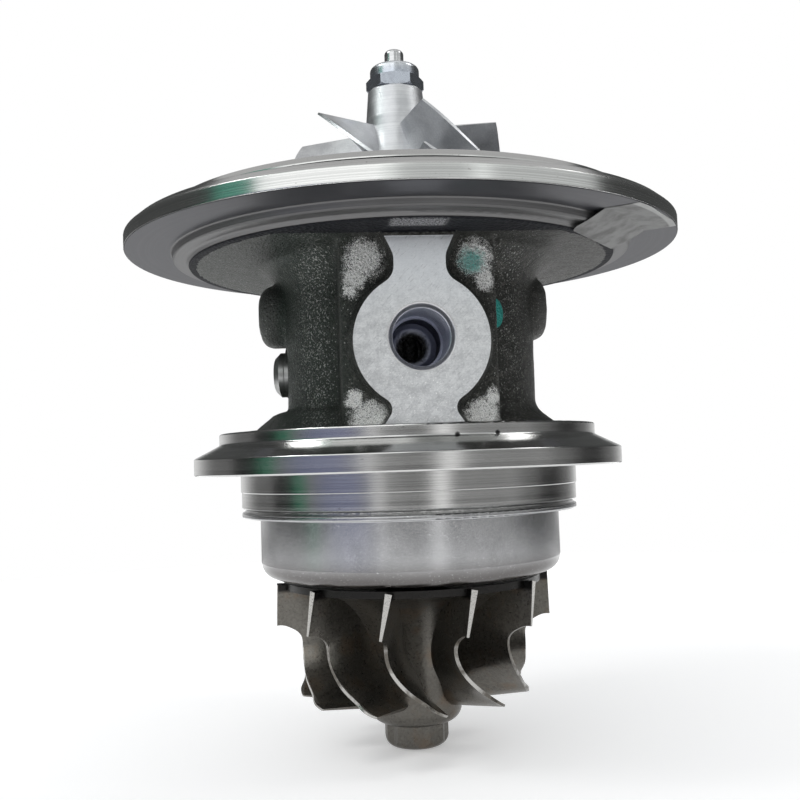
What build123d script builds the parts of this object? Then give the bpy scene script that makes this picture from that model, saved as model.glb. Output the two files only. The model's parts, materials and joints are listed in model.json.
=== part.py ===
import os
from math import acos, cos, pi, radians, sin, tan

from build123d import *

# Rotor centre section of a turbocharger, in millimetres.
# The rotor axis is Z. Z = 0 is the seating face of the turbine flange, and +Z leads to the compressor.
# The oil inlet pad faces -Y and the oil drain pad faces +Y.

# Edges that a turning tool breaks, and how far cutting shapes run past the metal
machined_edge = 0.4
overrun = 1.0

# Turbine flange and spigot of the housing
turbine_flange_radius = 52.2
turbine_flange_rim = 4.0
turbine_flange_cone = 3.1
turbine_flange_land = 2.7
turbine_cone_round = 0.6
turbine_land_radius = 46.1
spigot_radius = 41.2
spigot_band = 4.35
spigot_depth = 8.4
spigot_relief = 0.2
spigot_chamfer = 0.5

# Compressor flange of the housing
housing_length = 62.75
flange_radius = 67.5
flange_thickness = 5.0
flange_rim = 3.3
flange_chamfer_width = 2.0
flange_chamfer_round = 0.3
cover_spigot_radius = 58.8
cover_spigot_height = 3.95
cover_spigot_chamfer = 1.2
cover_spigot_edge = 0.25
cover_groove_depth = 2.2
cover_groove_width = 2.6
cover_seat_relief_width = 0.6
cover_seat_relief_depth = 0.3
underside_lip_radius = 56.1
underside_lip_height = 1.95
underside_lip_width = 3.1
underside_lip_draft = 0.3
underside_lip_round = 0.7
underside_lip_foot_fillet = 0.8
underside_lip_root_fillet = 0.5
underside_land_radius = 52.2
underside_land_height = 3.4

# Waist of the housing
drum_radius = 30.6
drum_shift = 1.5
drum_foot_radius = 35.9
drum_foot_height = 4.2
drum_foot_fillet = 4.0
drum_head_radius = 36.5
drum_head_height = 4.6
drum_head_fillet = 7.0
waist_core_radius = 28.0
ledge_shift = 1.9
ledge_radius = 35.9
ledge_shoulder_radius = 31.0
ledge_shoulder_height = 4.2
ledge_shoulder_round = 2.5
ledge_top_radius = 27.5
ledge_height = 5.2
inlet_block_width = 33.6
inlet_block_reach = 37.6
inlet_block_corner = 1.6

# Oil inlet pad
inlet_pad_reach = 42.0
inlet_pad_radius = 14.5
inlet_pad_height = 27.2
inlet_pad_draft = 14.0
inlet_neck_width = 11.0
inlet_neck_flare = 15.6
inlet_neck_flare_height = 5.0
inlet_foot_width = 9.6
inlet_foot_flare = 16.8
inlet_foot_flare_height = 5.2
inlet_neck_fillet = 4.0
inlet_foot_fillet = 2.5
inlet_port_height = 28.0
inlet_thread_radius = 6.19
inlet_thread_depth = 14.0
inlet_chamfer = 1.2
inlet_pilot_radius = 5.6
inlet_pilot_depth = 21.5
inlet_drill_radius = 2.6
drill_point_angle = 59.0

# Side bosses of the casting
side_boss_height = 39.2
side_boss_radius = 7.8
side_boss_reach = 35.5
side_boss_round = 3.2
side_boss_left_angle = -97.0
side_boss_right_angle = 86.0

# Oil drain pad
drain_pad_reach = 40.0
drain_pad_height = 30.0
drain_pad_radius = 14.0
drain_port_radius = 9.0
drain_bolt_spacing = 44.0
drain_bolt_radius = 3.4
drain_bolt_depth = 13.0
drain_ear_radius = 8.0
drain_pad_root = 12.0

# Side plug and its sealing washer
plug_angle = -98.0
plug_height = 24.6
plug_thread_radius = 4.0
plug_thread_length = 5.0
plug_head_radius = 5.6
plug_head_height = 3.0
plug_dome = 1.5
plug_tip_round = 0.6
plug_rim_round = 0.3
plug_dome_round = 1.2
plug_hex = 4.0
plug_socket_depth = 2.6
plug_seat_radius = 6.4
plug_seat_reach = 28.5
washer_thickness = 1.0
washer_radius = 5.9

# Turbine end of the housing and the heat shield
nose_radius = 13.5
nose_base_radius = 19.0
nose_round = 0.8
nose_base_fillet = 3.0
nose_reach = 24.6
shield_seat_drop = 0.7
shield_seat_radius = 39.0
shield_sheet = 1.2
shield_rim_radius = 41.0
shield_wall_radius = 36.65
shield_depth = 15.9
shield_corner = 3.7
shield_bend = 1.6
shield_edge_round = 0.4
shield_hole_gap = 0.5

# Rotor shaft
journal_radius = 5.0
shaft_relief = 0.3
shaft_stub_radius = 3.5
shaft_tip_radius = 2.43
shaft_tip_height = 4.5
shaft_tip_round = 1.1
seal_hub_radius = 9.2
seal_bore_length = 11.0
slinger_lip = 0.6
slinger_neck_radius = 7.4
slinger_neck_length = 3.0
slinger_neck_round = 0.8
rotor_weld_height = 1.5
thread_clearance = 0.06
stub_clearance = 0.04

# Floating bushes and their snap rings
bush_length = 11.0
bush_wall = 2.8
bush_inner_clearance = 0.03
bush_outer_clearance = 0.05
bush_oil_hole_radius = 1.2
bush_oil_hole_count = 6
bush_chamfer = 0.5
turbine_bush_start = 0.2
compressor_bush_end = 44.5
bush_end_play = 0.2
bush_shoulder = 1.6
bush_ring_thickness = 1.0
bush_ring_width = 2.1
bush_ring_bite = 0.9
ring_groove_play = 0.06
ring_gap_angle = 40.0
bush_ring_gap_at = 30.0
inner_bush_ring_gap_at = 150.0
carrier_radius = 12.6
carrier_lip = 1.3
seal_clearance = 0.3

# Piston rings
piston_ring_thickness = 1.4
piston_ring_width = 1.3
piston_ring_fit = 0.02
piston_ring_side_play = 0.1
piston_ring_root_play = 0.3
piston_ring_gap_angle = 3.0
turbine_ring_gap_at = 40.0
compressor_ring_gap_at = 130.0
turbine_ring_inset = 7.0

# Thrust bearing group
thrust_plate_thickness = 3.0
thrust_plate_radius = 20.0
thrust_plate_hole_radius = 6.5
thrust_plate_clearance = 0.1
thrust_flat_depth = 4.0
thrust_feed_radius = 0.9
thrust_pad_groove_width = 1.6
thrust_pad_groove_depth = 0.4
thrust_pad_count = 4
thrust_disc_radius = 9.0
thrust_ring_thickness = 2.3
thrust_collar_thickness = 2.0
thrust_running_clearance = 0.05
thrust_face_round = 0.1
thrust_edge_round = 0.3
thrust_sleeve_hub_radius = 6.0
thrust_pocket_radius = 10.4
thrust_pocket_gap = 0.35
dowel_radius = 1.5
dowel_length = 6.4
dowel_pitch_radius = 15.5
dowel_angle = 60.0
dowel_clearance = 0.05
dowel_chamfer = 0.3
dowel_drop = 0.2
deflector_thickness = 0.8
deflector_hole_gap = 0.6
deflector_tongue_width = 16.0
deflector_tongue_drop = 3.0
deflector_tongue_gap = 0.3

# Seal plate, its O-ring and snap ring
seal_plate_radius = 28.0
seal_plate_thickness = 3.9
seal_plate_drop = 4.65
seal_plate_clearance = 0.08
seal_plate_edge = 0.3
seal_plate_foot_inset = 0.2
seal_plate_foot_width = 3.0
seal_plate_foot_height = 1.25
seal_plate_hub_radius = 13.0
seal_plate_hub_slope = 2.5
seal_plate_hub_fillet = 1.0
seal_plate_hub_round = 0.5
seal_plate_collar_gap = 1.5
seal_plate_relief = 1.0
seal_bore_radius = 8.5
o_ring_groove_depth = 1.55
o_ring_groove_width = 2.4
o_ring_play = 0.03
seal_ring_thickness = 1.5
seal_ring_width = 3.1
seal_ring_bite = 1.5
seal_ring_gap = 16.0
seal_ring_lug_radius = 2.4
seal_ring_lug_sink = 1.2
seal_ring_lug_turn = 5.0
seal_ring_lug_hole = 0.9

# Cavities of the housing
cavity_radius = 24.5
cavity_foot = 15.0
cavity_head = 42.5
gallery_rib_width = 18.0
gallery_rib_start = 9.6
slinger_cavity_radius = 13.0
slot_width = 16.0
slot_reach = 24.0
slot_foot = -6.0
thrust_slot_start = 13.5
thrust_slot_reach = 22.0
drain_port_root = 18.0
gallery_radius = 1.8
gallery_offset = 16.0
feed_radius = 1.5

# Blades of both wheels: thickness left at their ends, and the share of the length that thins
blade_end_thickness = 0.7
blade_end_length = 0.167

# Compressor wheel
wheel_recess_gap = 0.7
compressor_radius = 35.5
compressor_rim_thickness = 1.45
compressor_hub_radius = 7.6
compressor_hub_height = 22.85
compressor_inducer_radius = 25.6
compressor_inducer_height = 22.05
compressor_blade_height = 4.3
compressor_nose_height = 33.15
compressor_nose_radius = 6.95
compressor_nose_foot = 2.4
compressor_nose_chamfer = 0.5
compressor_blade_count = 6
compressor_blade_root = 1.5
compressor_blade_tip = 0.75
compressor_blade_sink = 0.9
compressor_stations = 8
compressor_wrap = 88.0
compressor_wrap_bend = -43.5
compressor_wrap_ease = 4.7
compressor_lead_angle = 8.6
compressor_lean = 3.5
splitter_start = 0.41
compressor_back_gap = 0.7

# Shaft nut
nut_hex = 12.7
nut_hex_height = 3.1
nut_hex_chamfer = 0.5
nut_hub_radius = 6.25
nut_hub_height = 3.1
nut_hub_round = 1.2
nut_hex_angle = -3.9

# Turbine wheel
turbine_back_gap = 1.0
turbine_tip_radius = 33.5
turbine_tip_width = 10.3
turbine_disc_radius = 31.5
turbine_disc_rim = 1.6
turbine_hub_radius = 11.3
turbine_hub_length = 31.0
turbine_hub_round = 3.6
turbine_nose_length = 4.2
turbine_exducer_radius = 27.6
turbine_shoulder_radius = 27.4
turbine_shoulder_drop = 4.2
turbine_shoulder_share = 0.38
turbine_blade_length = 28.1
turbine_blade_count = 11
turbine_blade_root = 2.2
turbine_blade_tip = 0.85
turbine_blade_sink = 1.0
turbine_blade_inset = 0.3
turbine_trailing_drop = 1.9
turbine_turning_drop = 14.0
turbine_lean_angle = -18.5
turbine_lean = 4.5
turbine_lean_power = 1.3
turbine_wrap = 27.4
turbine_wrap_power = 2.05
turbine_stations = 9
boss_radius = 7.8
boss_valley = 0.6
boss_length = 5.9
boss_points = 12
boss_round = 2.6
boss_angle = -10.9

# Blank sticker under the compressor flange
sticker_thickness = 0.15
sticker_length = 26.0
sticker_width = 16.0
sticker_corner = 1.5
sticker_angle = 53.3
sticker_inset = 0.6
sticker_edge_gap = 0.2
sticker_bridge = 3.9

# Levels and radii that follow from the sizes above
land_top_level = turbine_flange_rim + turbine_flange_cone + turbine_flange_land
diffuser_level = housing_length
cover_seat_level = diffuser_level - cover_spigot_height
cover_groove_level = cover_seat_level - cover_seat_relief_depth
flange_under_level = cover_seat_level - flange_thickness
land_under_level = flange_under_level - underside_land_height
shield_seat_level = -spigot_depth - shield_seat_drop
shield_floor_level = shield_seat_level - shield_depth
nose_level = -nose_reach
turbine_back_level = shield_floor_level - turbine_back_gap
weld_level = turbine_back_level + rotor_weld_height
slinger_level = nose_level + seal_bore_length
seal_hub_top_level = slinger_level + slinger_lip
turbine_ring_level = nose_level + turbine_ring_inset
turbine_seal_bore = seal_hub_radius + seal_clearance
bush_radius = journal_radius + bush_wall
bush_bore_radius = bush_radius + bush_outer_clearance
bush_ring_outer = bush_bore_radius + bush_ring_bite
turbine_bush_end = turbine_bush_start + bush_length
turbine_shoulder_level = turbine_bush_start - bush_end_play
slinger_top_level = turbine_shoulder_level - bush_shoulder
turbine_bush_ring_level = turbine_bush_end + bush_end_play
compressor_bush_start = compressor_bush_end - bush_length
inner_bush_ring_level = compressor_bush_start - bush_end_play - bush_ring_thickness
outer_bush_ring_level = compressor_bush_end + bush_end_play
compressor_carrier_foot = inner_bush_ring_level - carrier_lip
plate_top_level = diffuser_level - seal_plate_drop
seal_seat_level = plate_top_level - seal_plate_thickness
deflector_top_level = seal_seat_level - seal_plate_foot_height
thrust_top_level = deflector_top_level - deflector_thickness
thrust_seat_level = thrust_top_level - thrust_plate_thickness
thrust_ring_top = thrust_seat_level - thrust_running_clearance
shaft_shoulder_level = thrust_ring_top - thrust_ring_thickness
thrust_collar_level = thrust_top_level + thrust_running_clearance
thrust_pocket_level = shaft_shoulder_level - thrust_pocket_gap
compressor_back_level = diffuser_level - compressor_rim_thickness
recess_level = compressor_back_level - compressor_back_gap
recess_radius = compressor_radius + wheel_recess_gap
seal_ring_level = plate_top_level + ring_groove_play
seal_plate_bore = seal_plate_radius + seal_plate_clearance
seal_sleeve_radius = seal_bore_radius - seal_clearance
nut_seat_level = diffuser_level + compressor_nose_height
nut_hex_top = nut_seat_level + nut_hex_height
nut_top_level = nut_hex_top + nut_hub_height
compressor_ring_foot = (seal_seat_level + recess_level - piston_ring_thickness) / 2


def rounded_outline(points):
    """Closed outline in the XZ plane through (x, z) or (x, z, corner radius) points."""
    corners = [Vector(point[0], 0, point[1]) for point in points]
    radii = [point[2] if len(point) > 2 else 0 for point in points]
    entries = []
    exits = []
    middles = []
    for index, corner in enumerate(corners):
        to_last = (corners[index - 1] - corner).normalized()
        to_next = (corners[(index + 1) % len(corners)] - corner).normalized()
        half_angle = radians(to_last.get_angle(to_next)) / 2
        radius = radii[index]
        reach = radius / tan(half_angle) if radius else 0
        bisector = (to_last + to_next).normalized() if radius else Vector(0, 0, 0)
        entries.append(corner + to_last * reach)
        exits.append(corner + to_next * reach)
        middles.append(corner + bisector * (radius / sin(half_angle) - radius) if radius else corner)
    edges = []
    for index in range(len(corners)):
        edges.append(Line(exits[index - 1], entries[index]))
        if radii[index]:
            edges.append(ThreePointArc(entries[index], middles[index], exits[index]))
    return make_face(edges)


def turned(points, angle=360):
    """Solid of revolution about Z from an outline of (radius, z) points."""
    return revolve(rounded_outline(points), Axis.Z, angle)


def ring(inner, outer, low, high):
    """Plain ring about Z."""
    return turned([(inner, low), (outer, low), (outer, high), (inner, high)])


def disc(radius, low, high):
    """Plain cylinder about Z between two levels."""
    return Pos(0, 0, low) * extrude(Circle(radius), high - low)


def split_ring(inner, outer, low, high, gap_angle, gap_at=0):
    """Ring with a gap of the given angle, the gap centred at gap_at degrees from +X."""
    body = turned([(inner, low), (outer, low), (outer, high), (inner, high)], 360 - gap_angle)
    return Rot(0, 0, gap_at + gap_angle / 2) * body


def box_between(low, high):
    """Box from its lowest to its highest corner."""
    low = Vector(*low)
    high = Vector(*high)
    size = high - low
    return Pos(*((low + high) / 2)) * Box(size.X, size.Y, size.Z)


def radial(angle, height, reach=0):
    """Frame whose Z axis leaves the rotor axis at an angle from -Y towards +X, at a given height."""
    outward = Vector(sin(radians(angle)), -cos(radians(angle)), 0)
    return Plane(origin=Vector(0, 0, height) + outward * reach, x_dir=(0, 0, 1), z_dir=outward)


def radial_cylinder(angle, height, radius, start, end):
    """Cylinder that leaves the rotor axis sideways."""
    return radial(angle, height, start) * extrude(Circle(radius), end - start)


def polar(radius, angle, level):
    """Point at an angle in degrees from -Y towards +X."""
    return Vector(radius * sin(radians(angle)), -radius * cos(radians(angle)), level)


# Bearing housing

def housing_spool():
    """Nose, spigot and both flanges as one turned form, joined by the core of the waist."""
    rim_top = flange_under_level + flange_rim
    seat_inner = cover_spigot_radius + cover_seat_relief_width
    groove_radius = cover_spigot_radius - cover_groove_depth
    groove_top = cover_groove_level + cover_groove_width
    cone_top = turbine_flange_rim + turbine_flange_cone
    lip_level = flange_under_level - underside_lip_height
    return turned([
        (0, nose_level),
        (nose_radius, nose_level, nose_round),
        (nose_base_radius, shield_seat_level, nose_base_fillet),
        (shield_seat_radius, shield_seat_level),
        (shield_seat_radius, -spigot_depth),
        (spigot_radius - spigot_relief - spigot_chamfer, -spigot_depth),
        (spigot_radius - spigot_relief, -spigot_depth + spigot_chamfer),
        (spigot_radius - spigot_relief, -spigot_band),
        (spigot_radius, -spigot_band + spigot_relief),
        (spigot_radius, 0),
        (turbine_flange_radius, 0, machined_edge),
        (turbine_flange_radius, turbine_flange_rim, machined_edge),
        (turbine_land_radius, cone_top, turbine_cone_round),
        (turbine_land_radius, land_top_level, machined_edge),
        (waist_core_radius, land_top_level),
        (waist_core_radius, land_under_level),
        (underside_land_radius, land_under_level, machined_edge),
        (underside_lip_radius - underside_lip_width, lip_level, underside_lip_foot_fillet),
        (underside_lip_radius, lip_level, underside_lip_round),
        (underside_lip_radius + underside_lip_draft, flange_under_level, underside_lip_root_fillet),
        (flange_radius, flange_under_level, machined_edge),
        (flange_radius, rim_top, machined_edge),
        (flange_radius - flange_chamfer_width, cover_seat_level, flange_chamfer_round),
        (seat_inner, cover_seat_level),
        (seat_inner, cover_groove_level),
        (groove_radius, cover_groove_level),
        (groove_radius, groove_top),
        (cover_spigot_radius, groove_top),
        (cover_spigot_radius, groove_top + cover_spigot_edge),
        (cover_spigot_radius - cover_spigot_chamfer, diffuser_level),
        (0, diffuser_level),
    ])


def housing_drum():
    """As-cast drum between the flanges, a little off the rotor axis, with a flared foot and head."""
    drum = turned([
        (0, land_top_level),
        (drum_foot_radius, land_top_level),
        (drum_radius, land_top_level + drum_foot_height, drum_foot_fillet),
        (drum_radius, land_under_level - drum_head_height, drum_head_fillet),
        (drum_head_radius, land_under_level),
        (0, land_under_level),
    ])
    return Pos(drum_shift, 0, 0) * drum


def housing_ledge():
    """Low as-cast ledge round the foot of the drum, set towards the side of the plug."""
    ledge = turned([
        (0, land_top_level),
        (ledge_radius, land_top_level),
        (ledge_shoulder_radius, land_top_level + ledge_shoulder_height, ledge_shoulder_round),
        (ledge_top_radius, land_top_level + ledge_height),
        (0, land_top_level + ledge_height),
    ])
    return Pos(-ledge_shift, 0, 0) * ledge


def inlet_block():
    """As-cast block between the two flanges that carries the oil inlet pad."""
    width = inlet_block_width
    block = box_between((-width / 2, -inlet_block_reach, land_top_level), (width / 2, 0, land_under_level))
    front = block.edges().filter_by(Axis.Z).group_by(Axis.Y)[0]
    return fillet(front, inlet_block_corner)


def inlet_pad():
    """Raised milled pad: a round face with a neck up and a foot down, on drafted walls."""
    middle = inlet_pad_height
    neck_top = land_under_level - inlet_neck_flare_height
    foot_top = land_top_level + inlet_foot_flare_height
    neck = Polyline(
        (-inlet_neck_width / 2, middle),
        (-inlet_neck_width / 2, neck_top),
        (-inlet_neck_flare / 2, land_under_level),
        (inlet_neck_flare / 2, land_under_level),
        (inlet_neck_width / 2, neck_top),
        (inlet_neck_width / 2, middle),
        close=True,
    )
    foot = Polyline(
        (-inlet_foot_width / 2, foot_top),
        (-inlet_foot_flare / 2, land_top_level),
        (inlet_foot_flare / 2, land_top_level),
        (inlet_foot_width / 2, foot_top),
        close=True,
    )
    face = Pos(0, middle) * Circle(inlet_pad_radius) + make_face(neck) + make_face(foot)
    near_neck = [corner for corner in face.vertices() if abs(corner.X) < inlet_neck_flare / 2]
    neck_joins = [corner for corner in near_neck if middle < corner.Y < land_under_level - overrun]
    face = fillet(neck_joins, inlet_neck_fillet)
    near_foot = [corner for corner in face.vertices() if abs(corner.X) < inlet_foot_flare / 2]
    foot_joins = [corner for corner in near_foot if land_top_level + overrun < corner.Y < middle]
    face = fillet(foot_joins, inlet_foot_fillet)
    depth = inlet_pad_reach - inlet_block_reach
    plane = Plane(origin=(0, -inlet_pad_reach, 0), x_dir=(-1, 0, 0), z_dir=(0, 1, 0))
    pad = plane * extrude(face, depth + inlet_block_corner, taper=-inlet_pad_draft)
    levels = box_between((-drum_radius, -inlet_pad_reach, land_top_level), (drum_radius, 0, land_under_level))
    return pad & levels


def side_boss(angle):
    """Round-ended boss on the side of the drum."""
    boss = radial_cylinder(angle, side_boss_height, side_boss_radius, 0, side_boss_reach)
    outer = boss.edges().filter_by(GeomType.CIRCLE).sort_by(lambda edge: edge.center().length)[-1]
    return fillet(outer, side_boss_round)


def drain_pad():
    """Oval pad with two ears on the drain side."""
    half = drain_bolt_spacing / 2
    left = Pos(-half, 0) * Circle(drain_ear_radius)
    right = Pos(half, 0) * Circle(drain_ear_radius)
    ears = make_hull(left.edges() + right.edges() + Circle(drain_pad_radius).edges())
    plane = Plane(origin=(0, drain_pad_root, drain_pad_height), x_dir=(-1, 0, 0), z_dir=(0, 1, 0))
    return plane * extrude(ears, drain_pad_reach - drain_pad_root)


def oil_port():
    """Tapped oil inlet with its mouth chamfer, the deeper pilot hole and the drilling to the gallery."""
    mouth = inlet_thread_radius + inlet_chamfer
    point = inlet_pilot_radius / tan(radians(drill_point_angle))
    thread_floor = inlet_pad_reach - inlet_thread_depth
    pilot_floor = inlet_pad_reach - inlet_pilot_depth
    port = turned([
        (0, inlet_pad_reach + overrun),
        (mouth + overrun, inlet_pad_reach + overrun),
        (inlet_thread_radius, inlet_pad_reach - inlet_chamfer),
        (inlet_thread_radius, thread_floor),
        (inlet_pilot_radius, thread_floor),
        (inlet_pilot_radius, pilot_floor),
        (0, pilot_floor - point),
    ])
    port = Pos(0, 0, inlet_port_height) * Rot(90, 0, 0) * port
    return port + radial_cylinder(0, inlet_port_height, inlet_drill_radius, gallery_offset, pilot_floor)


def oil_gallery():
    """Drilling along the rotor axis with a feed to each bush and an open end under the thrust plate."""
    turbine_feed = turbine_bush_start + bush_length / 2
    compressor_feed = compressor_bush_start + bush_length / 2
    gallery = Pos(0, -gallery_offset, turbine_feed) * extrude(
        Circle(gallery_radius), thrust_seat_level + overrun - turbine_feed
    )
    for level in (turbine_feed, compressor_feed):
        gallery += radial_cylinder(0, level, feed_radius, bush_bore_radius - overrun, gallery_offset)
    return gallery


def housing_bores():
    """Everything turned out of the casting from either end along the rotor axis."""
    shoulder_radius = bush_radius - bush_shoulder / 2
    pocket_top = thrust_seat_level + overrun
    cuts = disc(turbine_seal_bore, nose_level - overrun, slinger_level + overrun)
    cuts += disc(slinger_cavity_radius, slinger_level, slinger_top_level)
    cuts += disc(shoulder_radius, slinger_top_level - overrun, turbine_shoulder_level + overrun)
    cuts += disc(bush_bore_radius, turbine_shoulder_level, pocket_top)
    cuts += disc(thrust_pocket_radius, thrust_pocket_level, pocket_top)
    cuts += disc(thrust_plate_radius + thrust_plate_clearance, thrust_seat_level, seal_seat_level + overrun)
    cuts += disc(seal_plate_bore, seal_seat_level, diffuser_level)
    cuts += disc(recess_radius, recess_level, diffuser_level + overrun)
    for level in (turbine_bush_ring_level, inner_bush_ring_level, outer_bush_ring_level):
        low = level - ring_groove_play
        high = level + bush_ring_thickness + ring_groove_play
        cuts += disc(bush_ring_outer + ring_groove_play, low, high)
    ring_radius = seal_plate_bore + seal_ring_bite + ring_groove_play
    ring_top = seal_ring_level + seal_ring_thickness + ring_groove_play
    cuts += disc(ring_radius, plate_top_level, ring_top)
    return cuts


def housing_cavity():
    """Drain space round the bush carriers, open to the drain pad, and its side passages."""
    rib = box_between(
        (-gallery_rib_width / 2, -cavity_radius - overrun, cavity_foot - overrun),
        (gallery_rib_width / 2, -gallery_rib_start, cavity_head + overrun),
    )
    space = disc(cavity_radius, cavity_foot, cavity_head)
    space -= disc(carrier_radius, compressor_carrier_foot, cavity_head + overrun)
    space -= rib
    half = slot_width / 2
    slinger_mouth = box_between((-half, 0, slot_foot), (half, slot_reach, slinger_top_level))
    turbine_slot = box_between((-half, carrier_radius, slot_foot), (half, slot_reach, cavity_foot + overrun))
    thrust_slot = box_between(
        (-half, thrust_slot_start, cavity_head - overrun),
        (half, thrust_slot_reach, thrust_seat_level),
    )
    drain_end = drain_pad_reach + overrun
    drain = radial_cylinder(180, drain_pad_height, drain_port_radius, drain_port_root, drain_end)
    return space + slinger_mouth + turbine_slot + thrust_slot + drain


def drain_bolt_holes():
    """Two tapped holes of the drain pad."""
    plane = Plane(origin=(0, drain_pad_reach, drain_pad_height), x_dir=(1, 0, 0), z_dir=(0, -1, 0))
    hole = extrude(Circle(drain_bolt_radius), drain_bolt_depth)
    half = drain_bolt_spacing / 2
    return [plane * Pos(side * half, 0, 0) * hole for side in (-1, 1)]


def plug_hole():
    """Spot face and tapped hole of the side plug."""
    bore = plug_thread_radius + thread_clearance
    outside = drum_radius + plug_head_height
    thread = radial_cylinder(plug_angle, plug_height, bore, carrier_radius, outside)
    face = radial_cylinder(plug_angle, plug_height, plug_seat_radius, plug_seat_reach, outside)
    return thread + face


def dowel_holes():
    """Blind holes of the two thrust bearing dowels."""
    depth = dowel_length - thrust_plate_thickness + dowel_drop
    hole = extrude(Circle(dowel_radius + dowel_clearance), depth + overrun)
    foot = thrust_seat_level - depth
    return [Pos(*polar(dowel_pitch_radius, side * dowel_angle, foot)) * hole for side in (-1, 1)]


def bearing_housing():
    """The casting with everything cut out of it."""
    body = housing_spool() + housing_drum() + housing_ledge()
    body += inlet_block() + inlet_pad() + drain_pad()
    body += side_boss(side_boss_left_angle)
    body += side_boss(side_boss_right_angle)
    body -= housing_bores()
    body -= housing_cavity()
    body -= oil_port()
    body -= oil_gallery()
    body -= drain_bolt_holes()
    body -= plug_hole()
    body -= dowel_holes()
    return body


# Pieces fixed in the housing

def heat_shield():
    """Pressed cup with a flat lip, a deep wall and a hole round the nose."""
    hole = nose_radius + shield_hole_gap
    wall_inner = shield_wall_radius - shield_sheet
    lip_under = shield_seat_level - shield_sheet
    return turned([
        (hole, shield_floor_level),
        (shield_wall_radius, shield_floor_level, shield_corner),
        (shield_wall_radius, lip_under, shield_bend - shield_sheet),
        (shield_rim_radius, lip_under, shield_edge_round),
        (shield_rim_radius, shield_seat_level, shield_edge_round),
        (wall_inner, shield_seat_level, shield_bend),
        (wall_inner, shield_floor_level + shield_sheet, shield_corner - shield_sheet),
        (hole, shield_floor_level + shield_sheet),
    ])


def bush_snap_ring(level, gap_at):
    """Snap ring that keeps a bush in its bore."""
    inner = bush_ring_outer - bush_ring_width
    return split_ring(inner, bush_ring_outer, level, level + bush_ring_thickness, ring_gap_angle, gap_at)


def piston_ring(bore, level, gap_at):
    """Split sealing ring, sprung against its bore."""
    outer = bore - piston_ring_fit
    low = level + piston_ring_side_play
    inner = outer - piston_ring_width
    return split_ring(inner, outer, low, low + piston_ring_thickness, piston_ring_gap_angle, gap_at)


def pad_groove(level):
    """Oil groove between two thrust pads, half above and half below a face of the plate."""
    half = thrust_pad_groove_width / 2
    depth = thrust_pad_groove_depth
    outer = thrust_disc_radius + overrun
    inner = thrust_plate_hole_radius - overrun
    return box_between((-half, -outer, level - depth), (half, -inner, level + depth))


def thrust_bearing():
    """Bronze plate with oil grooves on both faces, a flat on the drain side and two dowel holes."""
    plate = ring(thrust_plate_hole_radius, thrust_plate_radius, thrust_seat_level, thrust_top_level)
    flat_at = thrust_plate_radius - thrust_flat_depth
    plate -= box_between(
        (-thrust_plate_radius, flat_at, thrust_seat_level - overrun),
        (thrust_plate_radius, thrust_plate_radius + overrun, thrust_top_level + overrun),
    )
    for step in range(thrust_pad_count):
        turn = Rot(0, 0, 360 * step / thrust_pad_count)
        plate -= turn * pad_groove(thrust_seat_level)
        plate -= turn * pad_groove(thrust_top_level)
    middle = (thrust_seat_level + thrust_top_level) / 2
    foot = thrust_seat_level - overrun
    plate -= Pos(0, -gallery_offset, foot) * extrude(Circle(gallery_radius), middle - foot)
    feed_start = thrust_plate_hole_radius - overrun
    plate -= radial_cylinder(0, middle, thrust_feed_radius, feed_start, gallery_offset)
    hole = extrude(Circle(dowel_radius + dowel_clearance), thrust_top_level + overrun - foot)
    for side in (-1, 1):
        plate -= Pos(*polar(dowel_pitch_radius, side * dowel_angle, foot)) * hole
    return plate


def thrust_dowels():
    """Two dowels that keep the thrust bearing from turning."""
    pin = extrude(Circle(dowel_radius), dowel_length)
    pin = chamfer(pin.edges().filter_by(GeomType.CIRCLE), dowel_chamfer)
    foot = thrust_top_level - dowel_drop - dowel_length
    left = Pos(*polar(dowel_pitch_radius, -dowel_angle, foot)) * pin
    right = Pos(*polar(dowel_pitch_radius, dowel_angle, foot)) * pin
    return left + right


def oil_deflector():
    """Thin sheet over the thrust bearing with a tongue bent down into the drain slot."""
    hole = thrust_disc_radius + deflector_hole_gap
    tongue_inner = thrust_plate_radius - thrust_flat_depth + deflector_tongue_gap
    tongue_outer = tongue_inner + deflector_thickness
    half = deflector_tongue_width / 2
    sheet = ring(hole, thrust_plate_radius, thrust_top_level, deflector_top_level)
    sheet -= box_between(
        (-thrust_plate_radius, tongue_outer, thrust_top_level - overrun),
        (thrust_plate_radius, thrust_plate_radius + overrun, deflector_top_level + overrun),
    )
    tongue = box_between(
        (-half, tongue_inner, thrust_top_level - deflector_tongue_drop),
        (half, tongue_outer, deflector_top_level),
    )
    return sheet + tongue


def seal_plate():
    """Insert behind the compressor wheel: rim with an O-ring groove, foot on the deflector, ring bore."""
    foot_outer = thrust_plate_radius - seal_plate_foot_inset
    collar_bore = thrust_disc_radius + seal_plate_collar_gap
    groove_mid = (plate_top_level + seal_seat_level) / 2
    half_groove = o_ring_groove_width / 2
    groove_floor = seal_plate_radius - o_ring_groove_depth
    return turned([
        (collar_bore, seal_seat_level),
        (foot_outer - seal_plate_foot_width, seal_seat_level),
        (foot_outer - seal_plate_foot_width, deflector_top_level),
        (foot_outer, deflector_top_level),
        (foot_outer, seal_seat_level),
        (seal_plate_radius, seal_seat_level, seal_plate_edge),
        (seal_plate_radius, groove_mid - half_groove),
        (groove_floor, groove_mid - half_groove),
        (groove_floor, groove_mid + half_groove),
        (seal_plate_radius, groove_mid + half_groove),
        (seal_plate_radius, plate_top_level, seal_plate_edge),
        (seal_plate_hub_radius + seal_plate_hub_slope, plate_top_level, seal_plate_hub_fillet),
        (seal_plate_hub_radius, recess_level, seal_plate_hub_round),
        (seal_bore_radius, recess_level),
        (seal_bore_radius, seal_seat_level + seal_plate_relief),
        (collar_bore, seal_seat_level + seal_plate_relief),
    ])


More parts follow.
